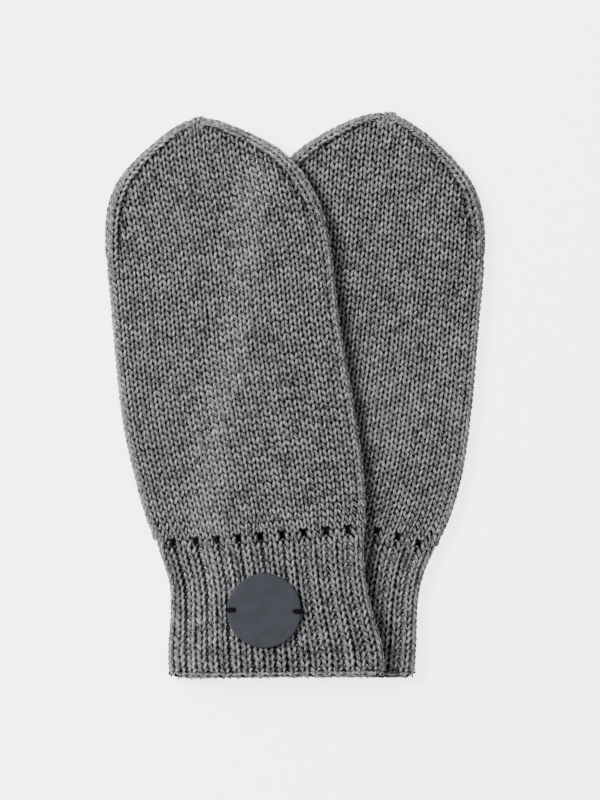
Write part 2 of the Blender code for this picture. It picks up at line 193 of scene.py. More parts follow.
RIGHT_ROWS = [
    (0.0, 4.00, -76.35, 0.0, 27.20),
    (1.0, 4.13, -75.35, -0.2, 27.90),
    (3.0, 4.37, -73.32, -0.5, 28.08),
    (8.0, 4.92, -68.33, -1.3, 27.91),
    (14.0, 5.85, -62.36, -2.2, 27.14),
    (20.0, 6.80, -56.39, -3.2, 26.36),
    (26.0, 7.70, -50.44, -4.5, 26.16),
    (32.0, 8.61, -44.50, -5.7, 26.79),
    (38.0, 9.68, -38.58, -7.0, 28.15),
    (44.0, 11.00, -32.71, -7.5, 29.50),
    (50.0, 12.29, -26.82, -8.1, 30.40),
    (56.0, 13.47, -20.93, -8.5, 30.96),
    (64.0, 14.85, -13.06, -8.5, 31.25),
    (74.0, 16.36, -3.16, -8.5, 31.15),
    (84.0, 17.76, 6.73, -8.3, 30.79),
    (94.0, 18.95, 16.67, -7.8, 30.40),
    (104.0, 19.92, 26.63, -7.3, 30.25),
    (112.0, 20.74, 34.59, -7.0, 30.20),
    (120.0, 21.50, 42.54, -7.0, 29.85),
    (126.0, 21.95, 48.53, -7.0, 29.35),
    (131.0, 22.30, 53.54, -7.0, 28.25),
    (136.0, 22.75, 58.51, -7.0, 26.15),
    (139.0, 23.02, 61.51, -7.0, 24.10),
    (142.0, 23.25, 64.50, -7.0, 21.30),
    (145.0, 23.60, 67.49, -7.0, 17.75),
    (147.0, 23.85, 69.47, -7.0, 15.10),
    (149.0, 24.10, 71.45, -7.0, 12.10),
    (151.0, 24.35, 73.44, -7.0, 8.70),
    (152.5, 24.60, 74.92, -7.0, 5.60),
    (153.4, 24.80, 75.80, -7.0, 3.00),
    (153.9, 24.90, 76.30, -7.0, 1.40),
]


def ease(t):
    t = np.clip(t, 0.0, 1.0)
    return t * t * (3 - 2 * t)


# How far each point lies inside a closed outline, negative outside it
def inside_by(points, outline):
    a, b = outline, np.roll(outline, -1, axis=0)
    edge = b - a
    off = points[:, None, :] - a[None]
    t = np.clip((off * edge).sum(2) / (edge**2).sum(1), 0.0, 1.0)
    near = np.linalg.norm(off - t[..., None] * edge, axis=2).min(axis=1)
    y = points[:, 1:2]
    spans = (a[:, 1] > y) != (b[:, 1] > y)
    rise = np.where(edge[:, 1] == 0, 1.0, edge[:, 1])
    meets = a[:, 0] + (y - a[:, 1]) / rise * edge[:, 0]
    crossings = (spans & (points[:, 0:1] < meets)).sum(axis=1)
    return np.where(crossings % 2 == 1, near, -near)


class Climb:
    """Height of the upper mitten's underside over the floor, kept on a grid of the plan."""

    STEP = 1.0

    def __init__(self, outline):
        self.low = outline.min(axis=0) - 30.0
        counts = np.ceil((outline.max(axis=0) + 30.0 - self.low) / self.STEP).astype(int)
        xs = self.low[0] + np.arange(counts[0]) * self.STEP
        ys = self.low[1] + np.arange(counts[1]) * self.STEP
        plan = np.stack(np.meshgrid(xs, ys, indexing="ij"), axis=-1).reshape(-1, 2)
        depth = inside_by(plan, outline)
        self.height = (LIFT * ease((depth + CLIMB_OUT) / (CLIMB_OUT + CLIMB_IN))).reshape(counts)

    def at(self, plan):
        place = (plan - self.low) / self.STEP
        limit = np.array(self.height.shape) - 2
        cell = np.clip(np.floor(place).astype(int), 0, limit)
        u, v = np.clip(place - cell, 0, 1).T
        i, j = cell.T
        h = self.height
        near = h[i, j] * (1 - u) + h[i + 1, j] * u
        far = h[i, j + 1] * (1 - u) + h[i + 1, j + 1] * u
        return near * (1 - v) + far * v


class Section:
    """Sizes of a mitten's cross-sections at an array of heights along it."""

    def __init__(self, mitten, along):
        table = mitten.table
        self.along = along
        self.mitten = mitten
        self.middle = np.stack([mitten.between(along, 1), mitten.between(along, 2)], axis=-1)
        lean = np.radians(mitten.between(along, 3))
        self.across = np.stack([np.cos(lean), np.sin(lean)], axis=-1)
        self.half = mitten.between(along, 4)
        step = 0.5
        slope = (mitten.between(along - step, 4) - mitten.between(along + step, 4)) / (2 * step)
        self.slant = np.hypot(1.0, slope)
        left = np.clip((table[-1, 0] - along) / TIP_ROUND, 0.0, 1.0)
        self.thick = THICK * np.maximum(np.sqrt(1 - (1 - left) ** 2), TIP_THIN)
        self.run = np.minimum(0.5 * THICK * self.slant, self.half)
        self.measure()

    def measure(self):
        self.fold = 0.25 * math.pi * np.sqrt(2 * (self.run**2 + (0.5 * self.thick) ** 2))
        self.flat = self.half - self.run
        self.whole = 2 * self.flat + 2 * self.fold
        self.side = self.flat + self.fold

    def inside(self):
        inner = copy.copy(self)
        inner.half = self.half - np.minimum(SIDE_WALL * self.slant, 0.75 * self.half)
        inner.thick = self.thick - 2 * WALL
        inner.run = np.minimum(0.5 * inner.thick * self.slant, inner.half)
        inner.measure()
        return inner

    def ring(self, around):
        """Place across, height and the outward direction's height at a length round the section."""
        sign = np.where(around >= 0, 1.0, -1.0)
        length = np.abs(around)
        turn = 0.5 * np.pi * np.clip((length - self.flat) / self.fold, 0.0, 2.0)
        over = np.clip(length - self.flat - 2 * self.fold, 0.0, None)
        x = np.minimum(length, self.flat) - over + self.run * np.sin(turn)
        z = THICK / 2 + self.thick / 2 * np.cos(turn)
        slope = np.stack([np.sin(turn) * self.thick / 2, np.cos(turn) * self.run])
        return sign * np.maximum(x, 0.0), z, slope[1] / np.linalg.norm(slope, axis=0)

    def place(self, around, share=1.0, climbing=True):
        """Points on the section, with the soft hollows and the climb."""
        x, z, up = self.ring(around)
        level = np.clip((self.half - np.abs(x)) / 8.0, 0.0, 1.0)
        wave = np.sin(2 * np.pi * self.along / HOLLOW_LONG + self.mitten.phase)
        wave = 0.5 + 0.5 * wave * np.cos(2 * np.pi * x / HOLLOW_WIDE + 1.7 * self.mitten.phase)
        near = 1 - np.minimum(np.abs(self.along - CUFF_TOP) / WAIST_HALF, 1.0)
        hollow = level * HOLLOW * wave + ease(near) * WAIST_DEEP * np.minimum(level * 3, 1.0)
        z = z - share * np.maximum(up, 0.0) * hollow
        plan = self.middle + self.across * x[:, None]
        if climbing and self.mitten.climb is not None:
            z = z + self.mitten.climb.at(plan)
        return np.column_stack([plan, z]) - CENTRE


class Mitten:
    """One mitten as a surface: a height along it and a length round it from the top's middle."""

    def __init__(self, name, rows, phase, under=None, bow=0.0):
        self.name = name
        self.bow = bow
        self.table = np.array(rows)
        self.slopes = np.gradient(self.table, self.table[:, 0], axis=0)
        self.phase = phase
        self.tip = self.table[-1, 0]
        self.climb = None if under is None else Climb(under.outline())

    def between(self, along, column):
        known = self.table[:, 0]
        value, slope = self.table[:, column], self.slopes[:, column]
        i = np.clip(np.searchsorted(known, along) - 1, 0, len(known) - 2)
        width = known[i + 1] - known[i]
        t = np.clip((along - known[i]) / width, 0.0, 1.0)
        start = (1 + 2 * t) * (1 - t) ** 2 * value[i] + t * (1 - t) ** 2 * width * slope[i]
        end = t * t * (3 - 2 * t) * value[i + 1] + t * t * (t - 1) * width * slope[i + 1]
        return start + end

    def outline(self):
        heights = np.concatenate([np.arange(0.0, 140.0, 4.0), np.arange(140.0, self.tip, 1.0)])
        section = Section(self, heights)
        reach = section.across * section.half[:, None]
        return np.concatenate([section.middle + reach, (section.middle - reach)[::-1]])

    def bowed(self, along, around):
        """Heights of stitches in rows that rise in the middle of the upper layer."""
        near = ease(along / 34.0) * ease((104.0 - along) / 56.0)
        return along + self.bow * near * np.maximum(1 - (around / Section(self, along).side) ** 2, 0.0)

    def point(self, along, around):
        return Section(self, along).place(around)

    def axes(self, along, around, levelled=0.0):
        """Point, directions along and out of the surface, and how far it is stretched round."""
        e = 0.3
        ahead = np.minimum(along + e, self.tip - 0.02)
        found = []
        for climbing in (True, False):
            front = Section(self, ahead).place(around, climbing=climbing)
            back = Section(self, along - e).place(around, climbing=climbing)
            here = Section(self, along)
            over = here.place(around + e, climbing=climbing) - here.place(around - e, climbing=climbing)
            out = np.cross(over, front - back)
            out /= np.linalg.norm(out, axis=1)[:, None]
            found.append((front - back, over, out))
        (up, over, out), level = found[0], found[1][2]
        out = out * (1 - levelled) + level * levelled
        out /= np.linalg.norm(out, axis=1)[:, None]
        up /= np.linalg.norm(up, axis=1)[:, None]
        stretch = np.clip(np.linalg.norm(over, axis=1) / (2 * e), 1.0, 1.4) ** (1 - levelled)
        return self.point(along, around), up, out, stretch


RIGHT = Mitten("right", RIGHT_ROWS, RIGHT_PHASE, bow=RIGHT_BOW)
LEFT = Mitten("left", LEFT_ROWS, LEFT_PHASE, under=RIGHT)


def distance(name, description, default):
    return bpy.props.FloatProperty(name=name, description=description, default=default, unit="LENGTH")


def tone(name, description, default):
    return bpy.props.FloatVectorProperty(
        name=name, description=description, default=default, subtype="COLOR"
    )


# What a user of the add-on can change
class MittenSettings(bpy.types.PropertyGroup):
    yarn_radius: distance("Yarn radius", "Half the yarn's thickness", 0.00050)
    stitch_width: distance("Stitch width", "Width of a stitch of the hand", 0.00229)
    row_height: distance("Row height", "Distance between two rows", 0.00176)
    loop_height: distance("Loop height", "Half the height of a loop", 0.00142)
    loop_depth: distance("Loop depth", "How far the legs stand before the loop's head", 0.00048)
    loop_bulge: bpy.props.FloatProperty(
        name="Loop bulge", description="Share of the width that a loop's head bulges", default=0.255
    )
    unevenness: bpy.props.FloatProperty(
        name="Unevenness", description="How much one stitch differs from the next", default=1.0,
        subtype="FACTOR",
    )
    light_wool: tone("Light wool", "Lightest fibres of the melange", (0.535, 0.535, 0.548))
    dark_wool: tone("Dark wool", "Darkest fibres of the melange", (0.006, 0.006, 0.0065))
    leather: tone("Leather", "Colour of the label", (0.0297, 0.0318, 0.0376))
    thread: tone("Thread", "Colour of the label's stitches", (0.0008, 0.0008, 0.0009))
    floor: tone("Floor", "Colour of the floor", (0.94, 0.95, 0.945))


def settings():
    return bpy.context.scene.mittens


def link(tree, source, target, into):
    """Links a node's first output, or a (node, output) pair, to a socket by name or number."""
    made, out = source if isinstance(source, tuple) else (source, 0)
    tree.links.new(made.outputs[out], target.inputs[into])


def put(made, values):
    """Sets sockets of a node by name."""
    for name, value in values.items():
        made.inputs[name].default_value = value


def node(tree, kind, label=None, **values):
    made = tree.nodes.new(kind)
    if label:
        made.label = label
    for name, value in values.items():
        setattr(made, name, value)
    return made


def maths(tree, operation, a, b=None, label=None, c=None):
    """A maths node whose inputs are numbers or (node, output) pairs."""
    made = node(tree, "ShaderNodeMath", label, operation=operation)
    for i, value in enumerate((a, b, c)):
        if isinstance(value, tuple):
            link(tree, value, made, i)
        elif value is not None:
            made.inputs[i].default_value = value
    return made, 0


def joined(tree, parts, label):
    """A vector of three parts."""
    made = node(tree, "ShaderNodeCombineXYZ", label)
    for i, part in enumerate(parts):
        link(tree, part, made, i)
    return made


# Geometry tree: one loop of yarn on every point
def stitch_tree():
    tree = bpy.data.node_groups.new("Stitches", "GeometryNodeTree")
    sockets = {
        "Geometry": "Geometry",
        "Width": "Float",
        "Loop height": "Float",
        "Depth": "Float",
        "Bulge": "Float",
        "Yarn radius": "Float",
        "Steps": "Int",
        "Sides": "Int",
        "Yarn": "Material",
    }
    for name, kind in sockets.items():
        tree.interface.new_socket(name, in_out="INPUT", socket_type=f"NodeSocket{kind}")
    tree.interface.new_socket("Geometry", in_out="OUTPUT", socket_type="NodeSocketGeometry")
    given = node(tree, "NodeGroupInput")
    result = node(tree, "NodeGroupOutput")

    def captured(geometry, name, label, value):
        made = node(tree, "GeometryNodeCaptureAttribute", label)
        made.capture_items.new("FLOAT", name)
        link(tree, geometry, made, "Geometry")
        link(tree, value, made, 1)
        return made

    def stored(geometry, name, kind, value):
        made = node(tree, "GeometryNodeStoreNamedAttribute", data_type=kind, domain="POINT")
        put(made, {"Name": name})
        link(tree, geometry, made, "Geometry")
        link(tree, value, made, "Value")
        return made

    line = node(tree, "GeometryNodeCurvePrimitiveLine", "Yarn")
    steps = node(tree, "GeometryNodeResampleCurve", "Steps")
    link(tree, line, steps, "Curve")
    link(tree, (given, "Steps"), steps, "Count")
    share = node(tree, "GeometryNodeSplineParameter")
    turn = maths(tree, "MULTIPLY_ADD", (share, "Factor"), 2 * math.pi, "Turn", -math.pi)
    double = maths(tree, "MULTIPLY", turn, 2.0)
    cosine_double = maths(tree, "COSINE", double)
    sway = maths(tree, "MULTIPLY", maths(tree, "SINE", double), (given, "Bulge"))
    across = maths(tree, "ADD", maths(tree, "DIVIDE", turn, 2 * math.pi), sway)
    x = maths(tree, "MULTIPLY", across, (given, "Width"), "Across")
    y = maths(tree, "MULTIPLY", maths(tree, "COSINE", turn), (given, "Loop height"), "Up")
    depth = maths(tree, "MULTIPLY", cosine_double, (given, "Depth"))
    z = maths(tree, "MULTIPLY", depth, -1.0, "Out")
    loop = node(tree, "GeometryNodeSetPosition", "Loop")
    link(tree, steps, loop, "Geometry")
    link(tree, joined(tree, (x, y, z), "Loop"), loop, "Position")

    plump = maths(tree, "MULTIPLY_ADD", cosine_double, -0.22, "Plump legs", 0.86)
    radius = maths(tree, "MULTIPLY", plump, (given, "Yarn radius"))
    run = captured(loop, "Along", "Length along the yarn", (share, "Length"))
    circle = node(tree, "GeometryNodeCurvePrimitiveCircle", "Yarn section")
    put(circle, {"Radius": 1.0})
    link(tree, (given, "Sides"), circle, "Resolution")
    around = captured(circle, "Around", "Turn round the yarn", (share, "Factor"))
    tube = node(tree, "GeometryNodeCurveToMesh", "Tube")
    link(tree, run, tube, "Curve")
    link(tree, around, tube, "Profile Curve")
    link(tree, radius, tube, "Scale")
    put(tube, {"Fill Caps": True})
    angle = maths(tree, "MULTIPLY", (around, "Around"), 2 * math.pi)
    twist = (maths(tree, "COSINE", angle), maths(tree, "SINE", angle), (run, "Along"))
    yarn = stored(tube, "yarn", "FLOAT_VECTOR", joined(tree, twist, "Yarn coordinates"))
    spot = node(tree, "ShaderNodeSeparateXYZ")
    link(tree, node(tree, "GeometryNodeInputPosition"), spot, 0)
    reach = maths(tree, "ADD", (given, "Depth"), (given, "Yarn radius"))
    # lift is how far each point of the yarn stands out of its loop; the wool reads it for its painted
    # shade
    raised = stored(yarn, "lift", "FLOAT", maths(tree, "DIVIDE", (spot, 2), reach, "Lift"))
    soft = node(tree, "GeometryNodeSetShadeSmooth")
    link(tree, raised, soft, "Geometry")

    turned = node(tree, "FunctionNodeAxesToRotation", primary_axis="Z", secondary_axis="Y")
    placed = node(tree, "GeometryNodeInstanceOnPoints")
    wanted = (("out", turned, "Primary Axis"), ("up", turned, "Secondary Axis"), ("size", placed, "Scale"))
    for name, target, socket in wanted:
        read = node(tree, "GeometryNodeInputNamedAttribute", data_type="FLOAT_VECTOR")
        put(read, {"Name": name})
        link(tree, read, target, socket)
    link(tree, (given, "Geometry"), placed, "Points")
    link(tree, soft, placed, "Instance")
    link(tree, turned, placed, "Rotation")
    real = node(tree, "GeometryNodeRealizeInstances")
    link(tree, placed, real, "Geometry")
    painted = node(tree, "GeometryNodeSetMaterial")
    link(tree, real, painted, "Geometry")
    link(tree, (given, "Yarn"), painted, "Material")
    link(tree, painted, result, "Geometry")
    return tree


def plain_mesh(obj):
    """Turns what an object's modifiers make into its own mesh."""
    graph = bpy.context.evaluated_depsgraph_get()
    made = bpy.data.meshes.new_from_object(obj.evaluated_get(graph))
    obj.modifiers.clear()
    old = obj.data
    obj.data = made
    made.name = obj.name
    bpy.data.meshes.remove(old)
    return obj


def new_object(name, data):
    obj = bpy.data.objects.new(name, data)
    bpy.context.scene.collection.objects.link(obj)
    return obj


def knit(name, stitches, yarn, steps, sides):
    """Yarn loops on an array of stitches."""
    chosen = settings()
    mesh = bpy.data.meshes.new(name)
    mesh.from_pydata((stitches["point"] * MM).tolist(), [], [])
    for key in ("up", "out", "size"):
        layer = mesh.attributes.new(key, "FLOAT_VECTOR", "POINT")
        layer.data.foreach_set("vector", stitches[key].astype(np.float32).ravel())
    for key in ("tint", "side", "painted_shade"):
        layer = mesh.attributes.new(key, "FLOAT", "POINT")
        layer.data.foreach_set("value", stitches[key].astype(np.float32))
    obj = new_object(name, mesh)
    modifier = obj.modifiers.new("Stitches", "NODES")
    modifier.node_group = bpy.data.node_groups.get("Stitches") or stitch_tree()
    values = {
        "Width": chosen.stitch_width,
        "Loop height": chosen.loop_height,
        "Depth": chosen.loop_depth,
        "Bulge": chosen.loop_bulge,
        "Yarn radius": chosen.yarn_radius,
        "Steps": steps,
        "Sides": sides,
        "Yarn": yarn,
    }
    for item in modifier.node_group.interface.items_tree:
        if item.in_out == "INPUT" and item.name in values:
            modifier[item.identifier] = values[item.name]
    plain_mesh(obj)
    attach(obj, "root")
    return obj


def level_of_yarn():
    """How far a stitch's crest stands above its middle."""
    chosen = settings()
    return (chosen.yarn_radius + chosen.loop_depth) / MM


# Lays out stitches on a mitten. Each part is a dictionary of equal arrays
class Layout:
    def __init__(self, mitten, seed):
        self.mitten = mitten
        self.random = np.random.default_rng(seed)
        self.parts = []

    def add(
        self, along, around, width=1.0, height=1.0, sink=0.0, purl=False, tilt=0.0, up=None, push=0.0,
        rim=None, light=None,
    ):
        """Stitches at heights and lengths round the mitten.

        sink is how far they lie below the others, which also paints shade on them unless light is given,
        push how far they are moved on along the mitten.
        Stitches of the rim face out of the mouth and lie rim below the surface. light is how much
        lighter than sunken yarn they are painted, as painted light, tilt how far they lean over, up their
        own way up."""
        along, around = np.broadcast_arrays(np.asarray(along, float), np.asarray(around, float))
        count = len(along)
        if not count:
            return
        uneven, random = settings().unevenness, self.random
        along = self.mitten.bowed(along, around) + uneven * random.normal(0, UNEVEN_PLACE, count)
        around = around + uneven * random.normal(0, UNEVEN_PLACE, count)
        point, upward, out, stretch = self.mitten.axes(along, around, LEVELLED)
        level = level_of_yarn()
        # Painted shade on stitches that sink below the others, and painted light that takes some of it off
        # the yarns along the edges
        painted_shade = np.clip(sink / level, 0.0, 1.0) - EDGE_LIGHT * (1 - np.abs(out[:, 2]))
        if light is not None:
            painted_shade = -light
        if rim is not None:
            point = point - out * rim
            out = -upward
        if up is not None:
            upward = up
        over = np.cross(upward, out)
        spin = uneven * random.normal(0, UNEVEN_TURN, count)[:, None]
        upward = upward * np.cos(spin) + over * np.sin(spin)
        point = point + push * upward
        deep = level + sink - PROUD * (1 - np.abs(out[:, 2]))
        point = point - out * (deep + uneven * random.normal(0, UNEVEN_DEPTH, count))[:, None]
        face = out * math.cos(tilt) + over * math.sin(tilt)
        size = np.ones((count, 3))
        size[:, 0] = width * stretch * (1 + uneven * random.normal(0, UNEVEN_SIZE, count))
        size[:, 1] = height * (1 + uneven * random.normal(0, UNEVEN_SIZE, count))
        size[:, 2] = np.minimum(size[:, 0], 1.0)
        self.parts.append(
            {
                "point": point,
                "up": upward,
                "out": -face if purl else face,
                "size": size,
                "tint": random.random(count),
                "side": np.full(count, -1.0 if purl else 1.0),
                "painted_shade": np.broadcast_to(painted_shade, (count,)),
                "along": along,
                "facing": out[:, 2],
            }
        )

    def all(self):
        """All stitches with a place. Loops that reach past the middle of the underside have none."""
        laid = {key: np.concatenate([part[key] for part in self.parts]) for key in self.parts[0]}
        return pick(laid, np.isfinite(laid["point"]).all(axis=1))


def whole_at(mitten, height):
    return float(Section(mitten, np.array([height])).whole[0])


def row_pitch():
    """Distance between rows, so that the cuff's last row stands beside the eyelets."""
    return (EYELET - HEM) / (CUFF_ROWS - 0.5)


def lay_cuff(mitten, layout):
    """Ribs: two knitted columns, then one sunken purled one that ends at an eyelet."""
    chosen = settings()
    width = chosen.stitch_width / MM
    pitch = row_pitch()
    tall = pitch * MM / chosen.row_height
    starts = np.arange(RIBS) - RIBS // 2
    for row in range(-1, CUFF_ROWS):
        height = HEM + (row + 0.5) * pitch if row >= 0 else HEM + 0.25
        repeat = 2 * whole_at(mitten, height) / RIBS
        knitted = (repeat - FURROW) / 2
        beside = float(ease(1 - abs(height - EYELET) / EYELET_REACH))
        open_here = float(
            ease((EYELET - height - 2.0) / FURROW_CLOSES) * ease((height - HEM) / FURROW_OPENS)
        )
        for number, tilt in ((0, -1.0), (1, 1.0)):
            places = starts * repeat + FURROW / 2 + (number + 0.5) * knitted
            layout.add(
                height + (0.12 if row == 0 else 0.0),
                wrapped(places - tilt * RIB_SPREAD * beside, repeat),
                width=knitted / width * (1.02 - 0.12 * beside),
                height=tall * {-1: 0.5, 0: 0.9}.get(row, ROW_OVERLAP),
                tilt=tilt * math.radians(RIB_LEAN * (1 - beside)),
                sink=0.1 if row < 0 else 0.02,
                light=HEM_LIGHT if row < 0 else None,
            )
        if 0 <= row < CUFF_ROWS - 1:
            furrows = wrapped(starts * repeat, repeat)
            stretched = ease(furrows / STRETCHED)
            open_here = open_here * (1 - PULLED_FLAT * stretched)
            layout.add(
                height,
                furrows,
                width=FURROW / width * (1.5 + 0.6 * beside),
                height=tall,
                sink=PURL_SINK + (FURROW_DEEP - PURL_LOW) * open_here,
                purl=True,
                # painted shade in the furrows, lighter where they are pulled flat
                light=-0.25 + 0.3 * stretched,
            )
    for side in (-1.0, 1.0):
        places = wrapped(starts * repeat + side * EYELET_EDGE, repeat)
        layout.add(EYELET + 0.15, places, width=0.3, height=1.35, sink=0.12)


def wrapped(places, repeat):
    """Lengths round brought back into one turn."""
    turn = repeat * RIBS
    return (places + turn / 2) % turn - turn / 2


def hand_columns(rise):
    """Places of the hand's columns, as shares of half a turn, and their widths.

    Three columns stand over each rib; four of them end early and the others close the gaps."""
    numbers = np.arange(-3 * RIBS // 2, 3 * RIBS // 2)
    ended = (numbers % 15) == 0
    first = numbers * 2 / (3 * RIBS)
    later = np.sign(numbers) * (np.abs(numbers) - 0.5 - (np.abs(numbers) > 15)) * 2 / HAND_STITCHES
    share = float(ease(rise / SETTLE))
    places = np.where(ended, first, first * (1 - share) + later * share)
    kept = ~ended | (rise < 4.0)
    widths = np.full(len(numbers), 2 / HAND_STITCHES if rise > 2.5 else 2 / (3 * RIBS))
    widths[ended] *= max(1 - share, 0.4)
    return places[kept], widths[kept]


def lay_hem(mitten, layout):
    """The cast-on edge: chains round the mouth, on the surface and on the rim."""
    count = 3 * RIBS
    whole = whole_at(mitten, HEM)
    places = (np.arange(count) + 0.5 - count / 2) * 2 * whole / count
    heights = np.full(count, HEM - 0.3)
    round_it = mitten.point(heights, places + 0.4) - mitten.point(heights, places - 0.4)
    round_it /= np.linalg.norm(round_it, axis=1)[:, None]
    pitch = 2 * whole / count / (settings().row_height / MM)
    layout.add(heights, places, width=0.5, height=pitch, sink=0.3, up=round_it, light=HEM_LIGHT)
    layout.add(heights + 0.6, places, width=0.75, height=pitch, up=round_it, rim=1.05, light=RIM_LIGHT)


def lay_hand(mitten, layout):
    """Plain knitting up to the shaping, then columns that end at the bands along both edges."""
    chosen = settings()
    row_height, width = chosen.row_height / MM, chosen.stitch_width / MM
    base = 2 * whole_at(mitten, SHAPING) / HAND_STITCHES
    start = EYELET + 0.5 * row_pitch()
    straight_rows = int(round((SHAPING - start) / row_height))
    pitch = (SHAPING - start) / straight_rows
    for row in range(straight_rows):
        height = start + (row + 0.5) * pitch
        whole = whole_at(mitten, height)
        places, widths = hand_columns(row * pitch)
        over_eyelet = (row == 0) * (np.arange(len(places)) % 3 == 0)
        layout.add(
            height + 0.55 * over_eyelet,
            places * whole,
            width=widths * whole / width,
            height=pitch / row_height * (1 - 0.3 * over_eyelet),
        )
    row = 0
    while True:
        height = SHAPING + (row + 0.5) * pitch
        row += 1
        if height > mitten.tip - 0.8:
            break
        section = Section(mitten, np.array([height]))
        room = float(section.side[0]) - BAND * base
        full = int(room / base)
        rest = room / base - full
        if full < 1 and rest < 0.35:
            break
        places = [(k + 0.5) * base for k in range(full)]
        widths = [base] * full
        if rest >= 0.35:
            places.append((full + rest / 2) * base)
            widths.append(rest * base)
        elif full:
            places[-1] += rest * base / 2
            widths[-1] += rest * base
        places, widths = np.array(places), np.array(widths)
        whole = float(section.whole[0])
        for around in (places, -places, whole - places, places - whole):
            ends = (np.arange(len(places)) == len(places) - 1) * min((height - SHAPING) / 8.0, 1.0)
            layout.add(height, around, width=widths / width, height=pitch / row_height, sink=0.22 * ends)
    lay_bands(mitten, layout, base, pitch)
    lay_tip(mitten, layout)


def lay_bands(mitten, layout, base, pitch):
    """Chains of stitches that follow the shaped edge: one on the edge, two beside it on each layer."""
    chosen = settings()
    row_height, width = chosen.row_height / MM, chosen.stitch_width / MM
    heights = np.linspace(SHAPING, mitten.tip - 0.25, 700)
    section = Section(mitten, heights)
    opened = ease((heights - SHAPING) / 12.0)
    for column, first in ((0, 0.0), (1, 0.5), (2, 1.5)):
        offset = base * (first * (1 - opened) + BAND_WIDTH * column * opened)
        for under in ((False, True) if column else (False,)):
            reach = section.side + offset if under else section.side - offset
            room = (section.whole - reach) if under else reach
            kept = room > 0.25 * base
            if column == 0:
                kept &= section.side > 0.6 * base
            last = len(kept) if kept.all() else int(np.argmin(kept))
            skipped = 60 if column == 0 else 0
            for sign in (1.0, -1.0):
                spot = slice(skipped, last)
                path = mitten.point(heights[spot], sign * reach[spot])
                step = np.linalg.norm(np.diff(path, axis=0), axis=1)
                length = np.concatenate([[0.0], np.cumsum(step)])
                centres = np.arange(0.5 * pitch, length[-1], pitch)
                along = np.interp(centres, length, heights[spot])
                around = sign * np.interp(centres, length, reach[spot])
                ahead, behind = (
                    np.stack([np.interp(centres + shift, length, part) for part in path.T], axis=-1)
                    for shift in (0.4, -0.4)
                )
                up = ahead - behind
                up /= np.linalg.norm(up, axis=1)[:, None]
                wide = BAND_WIDTH * base / width * (1.28 if column == 2 else 1.05)
                raised = -0.14 if column == 2 else 0.0
                layout.add(along, around, width=wide, height=pitch / row_height, sink=raised, up=up)


def lay_tip(mitten, layout):
    """The last loops, drawn together on the tip."""
    section = Section(mitten, np.array([mitten.tip - 0.9]))
    across = section.across[0]
    ahead = np.array([[-across[1], across[0], 0.0]])
    for side in (0.0, 1.0):
        opposite = side * float(section.whole[0])
        for around, rise, wide, sink in TIP_LOOPS:
            layout.add(
                [mitten.tip - 0.9], [around + opposite], width=wide, height=0.85, sink=sink, push=rise,
                up=ahead, light=TIP_LIGHT,
            )


# Split of a mitten's stitches: what is seen from above gets rounder yarn
def pick(stitches, mask):
    return {key: value[mask] for key, value in stitches.items()}


def covered(point):
    """Whether the left mitten lies over these points."""
    return inside_by(point[:, :2] + CENTRE[:2], LEFT.outline()) > COVERED


def knit_mitten(mitten):
    yarn = shared("wool_melange", wool)
    seed = SEEDS[mitten.name]
    cuff, hand = Layout(mitten, seed), Layout(mitten, seed + 1)
    lay_hem(mitten, cuff)
    lay_cuff(mitten, cuff)
    lay_hand(mitten, hand)
    cuff, hand = cuff.all(), hand.all()
    made = []
    low = hand["along"] < HAND_MIDDLE
    for part, stitches in (("cuff", cuff), ("palm", pick(hand, low)), ("tip", pick(hand, ~low))):
        seen = stitches["facing"] > HIDDEN
        if mitten is RIGHT:
            seen &= ~covered(stitches["point"])
        made.append(knit(f"{mitten.name}_{part}_front", pick(stitches, seen), yarn, *SEEN_YARN))
        made.append(knit(f"{mitten.name}_{part}_back", pick(stitches, ~seen), yarn, *HIDDEN_YARN))
    return made


def skin(name, points, faces, materials, slots=None):
    """A smooth mesh over points in millimetres."""
    mesh = bpy.data.meshes.new(name)
    mesh.from_pydata((points * MM).tolist(), [], faces)
    for material in materials:
        mesh.materials.append(material)
    if slots:
        mesh.polygons.foreach_set("material_index", slots)
    mesh.polygons.foreach_set("use_smooth", [True] * len(faces))
    mesh.update()
    return new_object(name, mesh)


# Walls under the stitches: near black as painted shade between the yarns, purled inside and darkened there
# by painted shade
def wall_ring(mitten, height):
    """Heights and lengths round of a ring with four points to a rib, and which are a furrow's."""
    repeat = 2 * whole_at(mitten, height) / RIBS
    narrow = min(EYELET_HALF_WIDE, repeat / 5)
    offsets = np.tile([-narrow, narrow, repeat / 3 + narrow / 3, 2 * repeat / 3 - narrow / 3], RIBS)
    numbers = np.repeat(np.arange(RIBS) - RIBS // 2, 4)
    around = wrapped(numbers * repeat + offsets, repeat)
    return mitten.bowed(np.full(len(around), height), around), around, np.abs(offsets) <= narrow + 1e-6


def wall_rings(mitten):
    """Outer rings just under the yarn and inner rings of the hand's space."""
    heights = np.concatenate(
        [
            np.arange(1.0, 35.5, 1.75),
            [EYELET - EYELET_HALF_HIGH, EYELET + EYELET_HALF_HIGH],
            np.arange(EYELET + 2.5, mitten.tip - 12.0, 2.2),
            mitten.tip - np.array([10.5, 9.0, 7.6, 6.3, 5.0, 3.9, 2.9, 2.0, 1.3]),
        ]
    )
    rings, inner = [], []
    for height in heights:
        along, around, in_furrow = wall_ring(mitten, height)
        point, _, out, _ = mitten.axes(along, around)
        deep = WALL_DEEP + WALL_FURROW * in_furrow * (height < EYELET)
        deep = deep - PROUD * (1 - np.abs(out[:, 2]))
        rings.append(point - out * deep[:, None])
        if height < mitten.tip - TIP_INSIDE:
            section = Section(mitten, along)
            inside = section.inside()
            inner.append(inside.place(around * inside.whole / section.whole, share=0.6))
    return heights, rings, inner


